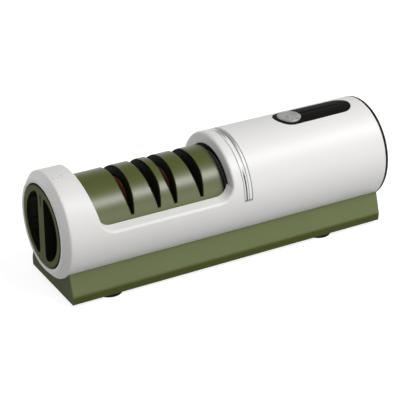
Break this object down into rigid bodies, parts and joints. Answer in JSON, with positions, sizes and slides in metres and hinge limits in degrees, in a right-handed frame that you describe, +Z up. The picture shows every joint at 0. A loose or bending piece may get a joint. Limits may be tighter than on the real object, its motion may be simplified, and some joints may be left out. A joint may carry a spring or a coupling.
{
  "type": "electric knife sharpener",
  "caption": "Barrel-shaped electric knife sharpener on a plinth, with a slotted grinding drum that locks by its end knob and slides out, a power button and a light ring.",
  "frame": {"origin": "centre of the bounding box's underside, where the feet stand", "axes": "+X along the barrel from the knob towards the end cap, -Y towards the user's side shown in the picture, +Z up"},
  "size_m": [0.2052, 0.06, 0.0696],
  "materials": {
    "shell": "glossy white moulded ABS",
    "olive_drum": "semi-gloss olive moulded ABS",
    "olive_plinth": "satin olive moulded ABS",
    "black_plastic": "fine-textured black moulded plastic",
    "panel_black": "semi-gloss black panel",
    "rubber": "moulded black rubber",
    "ring": "silvery light guide with fine lengthwise lines",
    "button": "anodised disc with a bright rim",
    "steel": "plain machined steel",
    "bronze": "sintered bronze",
    "copper_core": "laminated core with copper windings",
    "abrasive": "fine-grit reddish-brown abrasive ceramic",
    "board": "green circuit board",
    "cell_sleeve": "shrink sleeve",
    "lamp": "clear lamp"
  },
  "bodies": {
    "housing": {"barrel_shell": "shell", "end_cap": "black_plastic", "end_cap_screws": "steel", "mouth_seal": "rubber", "light_ring": "ring", "ring_led": "lamp", "plinth": "olive_plinth", "bottom_plate": "black_plastic", "plinth_screws": "steel", "feet": "rubber", "control_panel": "panel_black", "control_board": "board", "board_screws": "steel", "tact_switch": "black_plastic", "charge_socket": "steel", "charge_board": "board", "battery_cells": "cell_sleeve", "battery_cradle": "black_plastic", "motor_mount": "black_plastic", "mount_screws": "steel", "motor_can": "steel", "motor_end_bell": "black_plastic", "motor_screws": "steel"},
    "button": {"power_button": "button"},
    "rotor": {"motor_armature": "copper_core", "motor_shaft": "steel", "drive_socket": "black_plastic"},
    "cartridge": {"drum_upper": "olive_drum", "drum_lower": "olive_drum", "slot_guides": "black_plastic", "drum_screws": "steel", "spindle_bushes": "bronze", "wave_washer": "steel"},
    "knob": {"knob": "olive_drum", "knob_screw": "steel"},
    "grinder": {"spindle": "steel", "coarse_wheel": "abrasive", "fine_wheel": "abrasive", "wheel_hubs": "steel", "spindle_spacers": "steel", "spindle_clips": "steel"}
  },
  "joints": [
    {"name": "cartridge_slide", "type": "slide", "parent": "housing", "child": "cartridge", "axis": [-1, 0, 0], "range_m": [0, 0.12]},
    {"name": "knob_twist", "type": "hinge", "parent": "cartridge", "child": "knob", "pos_m": [-0.0946, 0, 0.03935], "axis": [1, 0, 0], "range_deg": [0, 45]},
    {"name": "spindle_spin", "type": "hinge", "parent": "cartridge", "child": "grinder", "pos_m": [-0.03812, 0, 0.03935], "axis": [1, 0, 0], "continuous": true},
    {"name": "motor_spin", "type": "hinge", "parent": "housing", "child": "rotor", "pos_m": [0.0274, 0, 0.03935], "axis": [1, 0, 0], "continuous": true},
    {"name": "button_press", "type": "slide", "parent": "housing", "child": "button", "axis": [0, 0, -1], "range_m": [0, 0.0012], "stiffness_N_per_m": 600, "springref_m": -0.0015}
  ],
  "couplings": [
    {"joint": "motor_spin", "follows": "spindle_spin", "ratio": 1}
  ]
}
